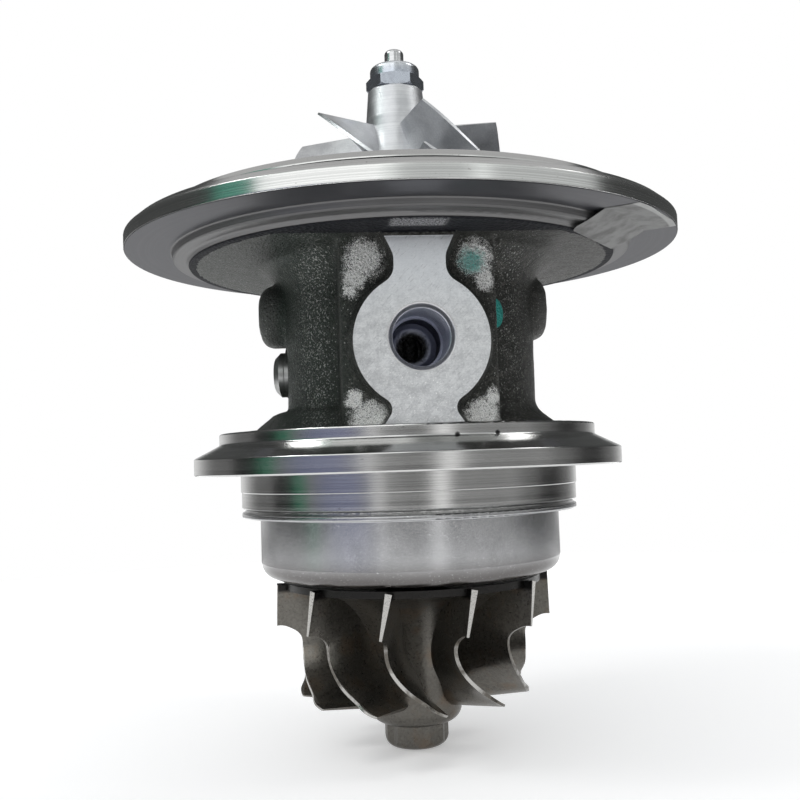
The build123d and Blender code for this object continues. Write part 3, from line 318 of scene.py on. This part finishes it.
def housing_material():
    """Machined and cast zones of the housing: bright rims and pads, black casting, painted shade on the
    undersides, the lip, the cast land under the flange and deep in the oil inlet, painted glints and a
    painted highlight towards the top of the pad.
    """
    n = Material("housing_iron")
    rings = n.turning(5.0)
    broad = n.turning(0.8)
    fine = n.noise(2.4, 4.0, 0.65)
    specks = n.noise(1.3, 3.0, 0.6)
    mill = n.noise(1.0, 4.0, 0.7, n.combine(n.times(n.x, 0.35), n.y, n.times(n.z, 3.5)))

    above_under = n.between(n.z, flange_under + 0.1, flange_under + 0.25)
    rim = n.times(above_under, n.between(n.radius, rim_start_radius, rim_start_radius + 0.6))
    lower = n.window(n.z, spigot_foot - 1.2, land_top + 0.1, 0.08)
    clamp = n.times(lower, n.between(n.radius, clamp_start_radius, clamp_start_radius + 0.4))
    turned = n.most(rim, clamp)
    under = n.times(
        n.window(n.z, land_under + 0.4, flange_under + 0.1, 0.12),
        n.between(n.radius, under_start_radius, under_start_radius + 1.0),
    )
    lip = n.times(under, n.between(n.radius, lip_radius, lip_radius + 0.3, 1.0, 0.0))
    waist = n.window(n.z, land_top + 0.1, land_under - 0.1, 0.05)
    pad = n.times(waist, n.between(n.times(n.y, -1.0), pad_reach - 0.12, pad_reach - 0.02))
    pad = n.times(pad, n.between(n.z, pad_top - 0.1, pad_top + 0.1, 1.0, 0.0))
    drain = n.times(waist, n.between(n.y, drain_reach - 0.12, drain_reach - 0.02))
    port_away = n.length(n.x, n.math("SUBTRACT", n.z, port_height))
    port = n.times(
        n.between(port_away, port_chamfer_radius, port_chamfer_radius + 0.05, 1.0, 0.0),
        n.between(n.y, port_end, port_end + 1.0, 1.0, 0.0),
    )
    depth = n.times(port, n.between(n.y, 0.8 - pad_reach, 1.6 - pad_reach))
    milled = n.most(pad, drain)

    shade = n.between(n.add(n.times(rings, 0.7), n.times(broad, 0.3)), 0.35, 0.65)
    pits = n.between(specks, 0.66, 0.74)
    nicks = n.most(*(n.spot(place, nick_size) for place in nicks_at))
    blotches = n.noise(0.45, 5.0, 0.65)
    # Painted glints: white specks on the pad, denser low down.
    painted_glints = n.times(n.between(n.noise(2.6, 2.0, 0.6), 0.62, 0.70), n.between(n.z, 18.0, 32.0, 1.0, 0.3))
    high = n.between(n.z, cast_land_level - 0.4, cast_land_level)
    turned_colour = n.mix(shade, (0.47, 0.47, 0.465), (0.66, 0.66, 0.65))
    turned_colour = n.mix(n.times(pits, 0.5), turned_colour, (0.22, 0.21, 0.20))
    turned_colour = n.mix(nicks, turned_colour, (0.03, 0.03, 0.03))
    milled_shade = n.add(n.times(mill, 0.20), n.times(blotches, 0.45), n.times(fine, 0.35))
    milled_shade = n.between(milled_shade, 0.38, 0.62)
    milled_colour = n.mix(milled_shade, (0.56, 0.57, 0.585), (0.76, 0.77, 0.78))
    # Painted highlight: the pad grows lighter and bluer towards its top.
    milled_colour = n.mix(n.between(n.z, 30.0, 47.0, 0.0, 0.6), milled_colour, (0.84, 0.87, 0.92))
    slant = n.combine(n.times(n.add(n.x, n.z), 0.35), n.y, n.times(n.math("SUBTRACT", n.x, n.z), 2.2))
    scores = n.between(n.noise(1.0, 3.0, 0.6, slant), 0.57, 0.66)
    milled_colour = n.mix(n.times(scores, 0.5), milled_colour, (0.40, 0.41, 0.43))
    milled_colour = n.mix(n.times(painted_glints, 0.8), milled_colour, (1.0, 1.0, 1.0))
    # Painted shade: the turned underside and lip of the flange get dark colours for the shade under the
    # flange.
    under_painted_shade = n.mix(n.between(broad, 0.3, 0.7), (0.052, 0.053, 0.061), (0.100, 0.100, 0.110))
    lip_painted_shade = n.mix(n.between(broad, 0.3, 0.7), (0.115, 0.114, 0.115), (0.21, 0.208, 0.208))
    cast_colour = n.mix(n.between(fine, 0.35, 0.65), (0.022, 0.023, 0.021), (0.075, 0.075, 0.068))
    # Painted shade: the cast land under the flange is made near black.
    cast_colour = n.mix(high, cast_colour, (0.010, 0.011, 0.015))
    bare = n.times(n.window(n.x, *bare_x, 0.8), n.window(n.y, *bare_y, 0.8), n.window(n.z, *bare_z, 0.1))
    cast_colour = n.mix(n.times(bare, n.between(fine, 0.40, 0.58)), cast_colour, (0.40, 0.40, 0.41))
    colour = n.mix(turned, cast_colour, turned_colour)
    colour = n.mix(under, colour, under_painted_shade)
    colour = n.mix(lip, colour, lip_painted_shade)
    colour = n.mix(milled, colour, milled_colour)
    colour = n.mix(port, colour, n.mix(shade, (0.50, 0.50, 0.51), (0.72, 0.72, 0.73)))
    colour = n.mix(depth, colour, n.mix(shade, (0.42, 0.44, 0.52), (0.62, 0.65, 0.76)))
    # Painted shade: the deep end of the oil inlet bore is darker.
    pilot = n.times(port, n.between(n.y, pilot_start, pilot_start + 1.5))
    colour = n.mix(pilot, colour, (0.22, 0.23, 0.29))

    roughness = n.between(fine, 0.3, 0.7, 0.40, 0.62)
    roughness = n.blend(turned, roughness, n.between(broad, 0.3, 0.7, 0.14, 0.22))
    roughness = n.blend(n.times(high, n.without(turned)), roughness, 0.70)
    roughness = n.blend(under, roughness, n.between(broad, 0.3, 0.7, 0.36, 0.48))
    roughness = n.blend(n.most(milled, port), roughness, n.between(blotches, 0.3, 0.7, 0.30, 0.42))
    metallic = n.most(turned, milled, n.times(under, 0.6), n.times(port, 0.9), 0.5)

    rough_zone = n.without(n.most(turned, milled, under, port))
    relief = n.bump(n.times(n.add(n.grains(1.1), n.noise(0.6, 5.0, 0.62)), rough_zone), 0.35)
    relief = n.bump(n.times(rings, n.most(turned, under)), 0.0018, relief)
    relief = n.bump(n.times(mill, milled), 0.008, relief)
    thread = n.math("SINE", n.times(n.y, thread_rate))
    threaded = n.times(port, n.between(n.y, thread_end, thread_end + 1.0, 1.0, 0.0))
    relief = n.bump(n.times(thread, threaded), 0.30, relief)
    return n.set(Base_Color=colour, Roughness=roughness, Metallic=metallic, Normal=relief)


def skin_material():
    """Sand-cast skin: near black, painted glints on its grains, painted highlight bands and sheen at the
    sides, a painted green reflection on the left, and painted highlights in the pockets beside the pad.
    """
    n = Material("cast_skin")
    sand = n.grains(1.5)
    grit = n.noise(2.2, 5.0, 0.7)
    lumps = n.noise(0.45, 4.0, 0.6)
    dots = n.noise(6.0, 3.0, 0.65)
    ragged = n.times(n.math("SUBTRACT", n.noise(0.7, 4.0, 0.65), 0.5), 4.0)
    # Painted highlights: bright patches in the pockets beside the pad, broken up by specks, stand in for
    # light on the curved pocket floors.
    pocket_highlight = n.most(*(n.spot((x, -block_reach, z), size, ragged) for x, z, size in pocket_highlight_spots))
    flecks = n.add(n.times(dots, 1.3), n.times(grit, 0.2), n.times(pocket_highlight, 0.40))
    pocket_highlight = n.times(n.between(flecks, 0.90, 1.20), n.between(pocket_highlight, 0.0, 0.3))
    # Painted sheen: lighter grey where the body turns away at its sides.
    painted_side_sheen = n.between(n.math("ABSOLUTE", n.x), side_reach, side_reach + 3.5, 0.0, 0.45)
    beside = n.times(n.math("SUBTRACT", n.x, stain_x), stain_squeeze)
    stain = n.length(beside, n.math("SUBTRACT", n.z, stain_z))
    stain = n.between(stain, stain_size, stain_size + 0.4, 1.0, 0.0)
    stain = n.times(stain, n.between(n.y, -front_half - 1.0, -front_half, 1.0, 0.0))
    dab = n.times(n.spot((dab_x, -block_reach, dab_z), dab_size, ragged), n.between(dots, 0.40, 0.50))
    teal = n.most(dab, stain)
    dusty = n.times(n.between(lumps, 0.45, 0.70), n.between(grit, 0.40, 0.60))
    # Painted highlight bands: glints are made denser in bands left and right of the block.
    painted_left_glint_band = n.times(n.window(n.x, -26.0, -19.0, 3.0), 0.09)
    painted_glint_bands = n.add(painted_left_glint_band, n.times(n.window(n.x, 18.0, 27.0, 4.0), 0.05))
    glints = n.between(n.add(n.noise(2.3, 2.0, 0.6), painted_glint_bands), 0.64, 0.72)
    # Painted reflection: a green tint on the left side of the body.
    painted_green_reflection = n.between(n.x, -24.0, -8.0, 0.55, 0.0)

    colour = n.mix(n.between(grit, 0.36, 0.66), (0.018, 0.019, 0.017), (0.060, 0.061, 0.055))
    colour = n.mix(n.times(dusty, 0.6), colour, (0.16, 0.155, 0.14))
    colour = n.mix(painted_green_reflection, colour, (0.044, 0.064, 0.052))
    colour = n.mix(painted_side_sheen, colour, (0.15, 0.148, 0.142))
    # Painted glints on the grains.
    colour = n.mix(n.times(glints, 0.7), colour, (0.60, 0.61, 0.58))
    # Painted highlight in the pockets beside the pad.
    colour = n.mix(pocket_highlight, colour, (1.0, 1.0, 0.98))
    colour = n.mix(n.times(teal, 0.85), colour, (0.04, 0.42, 0.37))
    roughness = n.between(grit, 0.35, 0.65, 0.30, 0.52)
    metallic = n.blend(pocket_highlight, n.blend(glints, 0.60, 0.95), 0.65)
    relief = n.bump(n.add(n.times(sand, 0.5), n.times(lumps, 0.8)), 0.44)
    relief = n.bump(grit, 0.40, relief)
    relief = n.bump(dots, 0.10, relief)
    return n.set(Base_Color=colour, Roughness=roughness, Metallic=metallic, Normal=relief)


def shield_material():
    """Pressed satin steel with fine specks, painted glints and drawn lines, darker towards its closed end."""
    n = Material("shield_steel")
    specks = n.noise(3.2, 3.0, 0.7)
    clouds = n.noise(0.10, 3.0, 0.5)
    drawn = n.noise(1.0, 3.0, 0.6, n.combine(n.x, n.y, n.times(n.z, 0.12)))
    shade = n.add(n.times(specks, 0.25), n.times(clouds, 0.75))
    colour = n.mix(n.between(shade, 0.36, 0.64), (0.40, 0.403, 0.41), (0.50, 0.503, 0.51))
    low = n.between(n.z, shield_foot + 0.5, shield_foot + 6.5, 1.0, 0.0)
    colour = n.mix(n.times(low, 0.85), colour, (0.11, 0.10, 0.095))
    # Painted glints: white specks on the shield.
    painted_glints = n.between(specks, 0.62, 0.70)
    colour = n.mix(n.times(painted_glints, 0.6), colour, (0.80, 0.80, 0.80))
    relief = n.bump(specks, 0.004)
    relief = n.bump(drawn, 0.003, relief)
    roughness = n.between(specks, 0.3, 0.7, 0.19, 0.25)
    return n.set(Base_Color=colour, Roughness=roughness, Metallic=1.0, Normal=relief)


def turned_material(name, dark, light, rough_low=0.16, rough_high=0.28):
    """Lathe-turned metal, duller on a plug or washer outside the casting."""
    n = Material(name)
    rings = n.turning(6.0)
    stains = n.noise(0.35, 4.0, 0.6)
    outside = n.times(
        n.between(n.radius, cavity_radius, cavity_radius + 1),
        n.between(n.z, plug_zone_top, plug_zone_top + 2.0, 1.0, 0.0),
    )
    shade = n.add(n.times(rings, 0.6), n.times(stains, 0.4))
    colour = n.mix(n.between(shade, 0.35, 0.65), dark, light)
    dull = n.mix(n.between(stains, 0.35, 0.65), (0.26, 0.265, 0.26), (0.40, 0.405, 0.40))
    colour = n.mix(outside, colour, dull)
    roughness = n.blend(outside, n.between(stains, 0.3, 0.7, rough_low, rough_high), 0.36)
    return n.set(Base_Color=colour, Roughness=roughness, Metallic=1.0, Normal=n.bump(rings, 0.005))


def nut_material():
    """Blue-grey steel nut, brighter on its turned top."""
    n = Material("nut_steel")
    rings = n.turning(6.0)
    stains = n.noise(0.5, 4.0, 0.6)
    top = n.between(n.z, nut_seat + 3.2, nut_top - 0.6)
    colour = n.mix(top, (0.48, 0.51, 0.57), (0.62, 0.64, 0.67))
    colour = n.mix(n.times(n.between(stains, 0.45, 0.70), 0.4), colour, (0.18, 0.19, 0.22))
    roughness = n.between(stains, 0.3, 0.7, 0.20, 0.34)
    return n.set(Base_Color=colour, Roughness=roughness, Metallic=1.0, Normal=n.bump(rings, 0.004))


def compressor_material():
    """Satin aluminium with cutter marks along the blades."""
    n = Material("wheel_aluminium")
    paths = n.combine(n.times(n.radius, 2.4), n.times(n.z, 2.4), 0.0)
    marks = n.noise(1.0, 4.0, 0.65, paths)
    patches = n.noise(0.18, 4.0, 0.55)
    shade = n.add(n.times(marks, 0.4), n.times(patches, 0.6))
    colour = n.mix(n.between(shade, 0.38, 0.62), (0.52, 0.527, 0.545), (0.68, 0.687, 0.70))
    relief = n.bump(marks, 0.03)
    roughness = n.between(patches, 0.3, 0.7, 0.36, 0.48)
    return n.set(Base_Color=colour, Roughness=roughness, Metallic=1.0, Normal=relief)


def turbine_material():
    """Dark heat-resisting cast alloy, brown in places, with bright ground blade edges and painted shade on
    the disc beneath the shield.
    """
    n = Material("wheel_alloy")
    skin = n.noise(1.6, 5.0, 0.7)
    stains = n.noise(0.16, 4.0, 0.6)
    grains = n.grains(1.6)
    colour = n.mix(n.between(skin, 0.30, 0.70), (0.125, 0.118, 0.105), (0.195, 0.185, 0.166))
    colour = n.mix(n.times(n.between(stains, 0.50, 0.72), 0.6), colour, (0.19, 0.14, 0.098))
    # Painted shade: the outer disc face close under the shield is made near black.
    painted_disc_shade = n.times(
        n.between(n.radius, disc_edge - 2.5, disc_edge - 1.0),
        n.between(n.z, disc_level - 1.5, disc_level - 0.5),
    )
    colour = n.mix(painted_disc_shade, colour, (0.022, 0.021, 0.020))
    shroud = n.times(
        n.between(n.radius, shroud_radius - 0.1, shroud_radius),
        n.between(n.z, shroud_start, shroud_start + 0.6, 1.0, 0.0),
    )
    hub = n.between(n.radius, hub_radius, hub_radius + 1.5, 1.0, 0.0)
    colour = n.mix(n.times(hub, 0.3), colour, (0.055, 0.052, 0.047))
    ground = n.mix(n.between(stains, 0.40, 0.60), (0.13, 0.12, 0.105), (0.46, 0.45, 0.43))
    colour = n.mix(shroud, colour, ground)
    tips = n.between(n.radius, tip_radius, tip_radius + 0.1)
    colour = n.mix(tips, colour, (0.42, 0.41, 0.39))
    tips = n.most(tips, shroud)
    relief = n.bump(n.add(skin, n.times(grains, 0.5)), 0.03)
    roughness = n.blend(tips, n.between(skin, 0.3, 0.7, 0.26, 0.36), 0.15)
    return n.set(Base_Color=colour, Roughness=roughness, Metallic=0.9, Normal=relief)


def rubber_material():
    """Black O-ring rubber."""
    n = Material("seal_rubber")
    dust = n.noise(1.5, 4.0, 0.6)
    colour = n.mix(n.between(dust, 0.4, 0.7), (0.010, 0.010, 0.010), (0.035, 0.034, 0.032))
    roughness = n.between(dust, 0.3, 0.7, 0.5, 0.75)
    return n.set(Base_Color=colour, Roughness=roughness, Normal=n.bump(dust, 0.02))


def sticker_material():
    """White film given grey colours for the shade under the flange, a little soiled, with a painted lit strip
    along its outer edge.
    """
    n = Material("sticker_paper")
    soil = n.noise(0.25, 5.0, 0.6)
    fibres = n.noise(2.5, 3.0, 0.6)
    rim = n.between(n.radius, flange_radius - 1.9, flange_radius - 1.4)
    # Painted shade: the white film gets grey colours for the shade under the flange; the noise between them
    # is soil.
    colour = n.mix(n.between(soil, 0.42, 0.72), (0.24, 0.24, 0.235), (0.15, 0.148, 0.145))
    # Painted light: a lighter strip along the film's outer edge.
    colour = n.mix(rim, colour, (0.50, 0.50, 0.49))
    roughness = n.between(soil, 0.3, 0.7, 0.45, 0.6)
    return n.set(Base_Color=colour, Roughness=roughness, Normal=n.bump(fibres, 0.01))


def dress_nodes():
    """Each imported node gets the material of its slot."""
    materials = {
        "cast_iron": housing_material(),
        "shield_steel": shield_material(),
        "plain_steel": turned_material("plain_steel", (0.46, 0.46, 0.47), (0.66, 0.66, 0.67)),
        "spring_steel": turned_material("spring_steel", (0.10, 0.10, 0.11), (0.22, 0.22, 0.24), 0.25, 0.42),
        "bronze": turned_material("bronze", (0.45, 0.30, 0.14), (0.68, 0.49, 0.26), 0.22, 0.38),
        "wheel_aluminium": compressor_material(),
        "wheel_alloy": turbine_material(),
        "nut_steel": nut_material(),
        "seal_rubber": rubber_material(),
        "sticker_paper": sticker_material(),
    }
    for part in frame["record"]["subparts"]:
        node = frame["nodes"][part["node"]]
        for slot in node.material_slots:
            slot.material = materials[part["material_slot"]]
        if not node.material_slots:
            node.data.materials.append(materials[part["material_slot"]])


def is_cast(place):
    """Whether a point lies on the rough outside of the casting."""
    x, y, z = place / MM
    radius = hypot(x, y)
    if radius < cavity_radius + 2 or not land_top - 0.4 < z < land_under + 0.4:
        return False
    if z < land_top + 0.3 and radius > land_top_radius - 0.8:
        return False
    if z > land_under - 0.3 and radius > land_under_radius - 0.8:
        return False
    if y < 0.3 - pad_reach or y > drain_reach - 0.4:
        return False
    if y < -front_half and hypot(x, z - port_height) < port_radius + 2:
        return False
    if y > front_half and hypot(x, z - drain_height) < drain_radius + 0.7:
        return False
    if y > front_half and hypot(abs(x) - drain_bolt_offset, z - drain_height) < drain_bolt_radius + 0.7:
        return False
    angle = radians(plug_angle)
    along = x * sin(angle) - y * cos(angle)
    across = hypot(x * cos(angle) + y * sin(angle), z - plug_height)
    return along < 0 or across > plug_seat_radius + 0.6


def remeshed(node):
    """Closed, softened copy of a node's mesh in voxels."""
    draft = bpy.data.objects.new("draft", node.data.copy())
    bpy.context.scene.collection.objects.link(draft)
    voxels = draft.modifiers.new("voxels", "REMESH")
    voxels.mode = "VOXEL"
    voxels.voxel_size = skin_voxel * MM
    soft = draft.modifiers.new("soft", "SMOOTH")
    soft.factor = 0.5
    soft.iterations = skin_smoothing
    mesh = bpy.data.meshes.new_from_object(draft.evaluated_get(bpy.context.evaluated_depsgraph_get()))
    bpy.data.objects.remove(draft)
    return mesh


def border_steps(bm, reach):
    """How many edges each point near the open border is away from it."""
    steps = {vert: 0 for vert in bm.verts if vert.is_boundary}
    front = list(steps)
    for step in range(1, reach):
        beyond = []
        for vert in front:
            for edge in vert.link_edges:
                other = edge.other_vert(vert)
                if other not in steps:
                    steps[other] = step
                    beyond.append(other)
        front = beyond
    return steps


def cast_skin(material):
    """Rough outside of the casting with soft fillets, laid over the solid and sunk in at its borders."""
    node = frame["nodes"]["bearing_housing"]
    solid = BVHTree.FromObject(node, bpy.context.evaluated_depsgraph_get())
    bm = bmesh.new()
    bm.from_mesh(remeshed(node))
    outside = [face for face in bm.faces if not is_cast(face.calc_center_median())]
    bmesh.ops.delete(bm, geom=outside, context="FACES")
    bm.normal_update()
    steps = border_steps(bm, skin_border)
    moved = {}
    for vert in bm.verts:
        near, normal, _, _ = solid.find_nearest(vert.co)
        if vert in steps and steps[vert] < skin_sunk_border:
            moved[vert] = near - normal * skin_sink * MM * (1 - steps[vert] / skin_sunk_border)
            continue
        lumps = noise.noise(vert.co / (skin_lump_size * MM)) * skin_lumps
        grain = noise.noise(vert.co / (skin_grain_size * MM)) * skin_grain
        share = steps.get(vert, skin_border) / skin_border
        rise = (skin_offset + (lumps + grain) * skin_unevenness) * share * MM
        height = (vert.co - near).dot(normal)
        base, way = (near, normal) if height < 0 else (vert.co, vert.normal)
        moved[vert] = base + way * max(rise, skin_least_rise * MM)
    for vert, place in moved.items():
        vert.co = place
    for face in bm.faces:
        face.smooth = True
    mesh = bpy.data.meshes.new("housing_cast_skin")
    bm.to_mesh(mesh)
    bm.free()
    skin = bpy.data.objects.new("housing_cast_skin", mesh)
    bpy.context.scene.collection.objects.link(skin)
    mesh.materials.clear()
    mesh.materials.append(material)
    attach(skin, "housing")


def photo_camera():
    """Camera at the photograph's place, in the row frame."""
    yaw = radians(camera_yaw)
    pitch = radians(camera_pitch)
    roll = radians(camera_roll)
    right = Vector((cos(yaw), -sin(yaw), 0))
    ahead = Vector((sin(yaw) * cos(pitch), cos(yaw) * cos(pitch), sin(pitch)))
    up = Vector((-sin(yaw) * sin(pitch), -cos(yaw) * sin(pitch), cos(pitch)))
    side = right * cos(roll) + up * sin(roll)
    top = up * cos(roll) - right * sin(roll)
    turn = Matrix.Rotation(radians(camera_azimuth), 4, "Z")
    matrix = Matrix((side, top, -ahead)).transposed().to_4x4()
    matrix.translation = Vector((0, -camera_distance, camera_height)) * MM
    data = bpy.data.cameras.new("camera")
    data.sensor_width = sensor_width
    data.lens = sensor_width * camera_focal_pixels / picture_pixels
    data.clip_start = camera_clip * MM
    camera = bpy.data.objects.new("camera", data)
    camera.matrix_world = turn @ matrix
    bpy.context.scene.collection.objects.link(camera)
    bpy.context.scene.camera = camera


def area_light(name, place, width, height, power):
    """Soft lamp that faces the middle of the part."""
    data = bpy.data.lights.new(name, "AREA")
    data.shape = "RECTANGLE"
    data.size = width
    data.size_y = height
    data.energy = power
    light = bpy.data.objects.new(name, data)
    light.location = place
    light.rotation_euler = (Vector(lamp_target) - Vector(place)).to_track_quat("-Z", "Y").to_euler()
    bpy.context.scene.collection.objects.link(light)


def seen_directly(tree):
    """1 on camera, glossy and transmission rays."""
    path = tree.node("ShaderNodeLightPath").outputs
    return tree.most(path["Is Camera Ray"], path["Is Glossy Ray"], path["Is Transmission Ray"])


def studio_floor():
    """Pale round floor that fades to white towards its edge and keeps the part's shadow."""
    place = (0, 0, cad_box[0][2] - floor_gap * MM)
    bpy.ops.mesh.primitive_circle_add(vertices=96, radius=floor_radius * MM, fill_type="NGON", location=place)
    floor = bpy.context.object
    floor.name = "floor"
    n = Material("pale_floor")
    haze = n.between(n.radius, floor_radius * 0.35, floor_radius * 0.9, 0.34, 0.80)
    n.set(Base_Color=(0.82, 0.82, 0.82), Roughness=0.85, Emission_Color=(1.0, 1.0, 1.0),
          Emission_Strength=n.times(haze, seen_directly(n)))
    floor.data.materials.append(n.material)


def studio_world():
    """White to the camera, soft light, and a room of strip lights and dark flags for the metal to reflect."""
    world = bpy.data.worlds.new("studio")
    bpy.context.scene.world = world
    world.use_nodes = True
    w = Tree(world.node_tree)
    parts = w.node("ShaderNodeSeparateXYZ")
    w.put(parts.inputs[0], w.node("ShaderNodeTexCoord").outputs["Generated"])
    x, y, z = parts.outputs
    azimuth = w.math("DEGREES", w.math("ARCTAN2", x, w.times(y, -1.0)))
    sideways = w.math("ABSOLUTE", azimuth)

    room = w.between(sideways, 45.0, 85.0, 0.27, 0.17)
    back = w.times(w.between(sideways, 122.0, 158.0, 0.0, 0.65), w.between(z, -0.13, -0.02))
    room = w.add(room, back)
    for low, high, soft, level in low_lights:
        room = w.add(room, w.times(w.window(azimuth, low, high, soft), level))
    for low, high, soft, depth in low_flags:
        room = w.times(room, w.without(w.times(w.window(azimuth, low, high, soft), depth)))
    upper = high_level
    for low, high, soft, level in high_lights:
        upper = w.add(upper, w.times(w.window(azimuth, low, high, soft), level))
    raised = w.between(z, 0.08, 0.20)
    room = w.blend(raised, room, w.times(upper, w.between(z, 0.40, 0.80, 1.0, 0.60)))
    tint = w.mix(w.window(azimuth, -92.0, -76.0, 5.0), (1.0, 1.0, 1.0), (0.20, 1.0, 0.58))
    tint = w.mix(w.window(azimuth, -68.0, -34.0, 9.0), tint, (0.74, 0.80, 1.26))
    upper_tint = w.mix(w.window(azimuth, -82.0, -62.0, 3.0), (0.97, 1.0, 0.99), (0.31, 1.0, 0.75))
    tint = w.mix(raised, tint, upper_tint)

    path = w.node("ShaderNodeLightPath").outputs
    reflected = w.most(path["Is Glossy Ray"], path["Is Transmission Ray"])
    colour = w.mix(reflected, (0.96, 0.98, 1.0), tint)
    colour = w.mix(path["Is Camera Ray"], colour, (1.0, 1.0, 1.0))
    strength = w.blend(reflected, 0.50, room)
    strength = w.blend(path["Is Camera Ray"], strength, 1.0)
    light = w.node("ShaderNodeBackground")
    w.put(light.inputs["Color"], colour)
    w.put(light.inputs["Strength"], strength)
    w.put(w.node("ShaderNodeOutputWorld").inputs["Surface"], light.outputs[0])


dress_nodes()
cast_skin(skin_material())
photo_camera()
studio_floor()
studio_world()
for name, lamp in lamps.items():
    area_light(name, *lamp)

scene = bpy.context.scene
scene.view_settings.view_transform = "Standard"
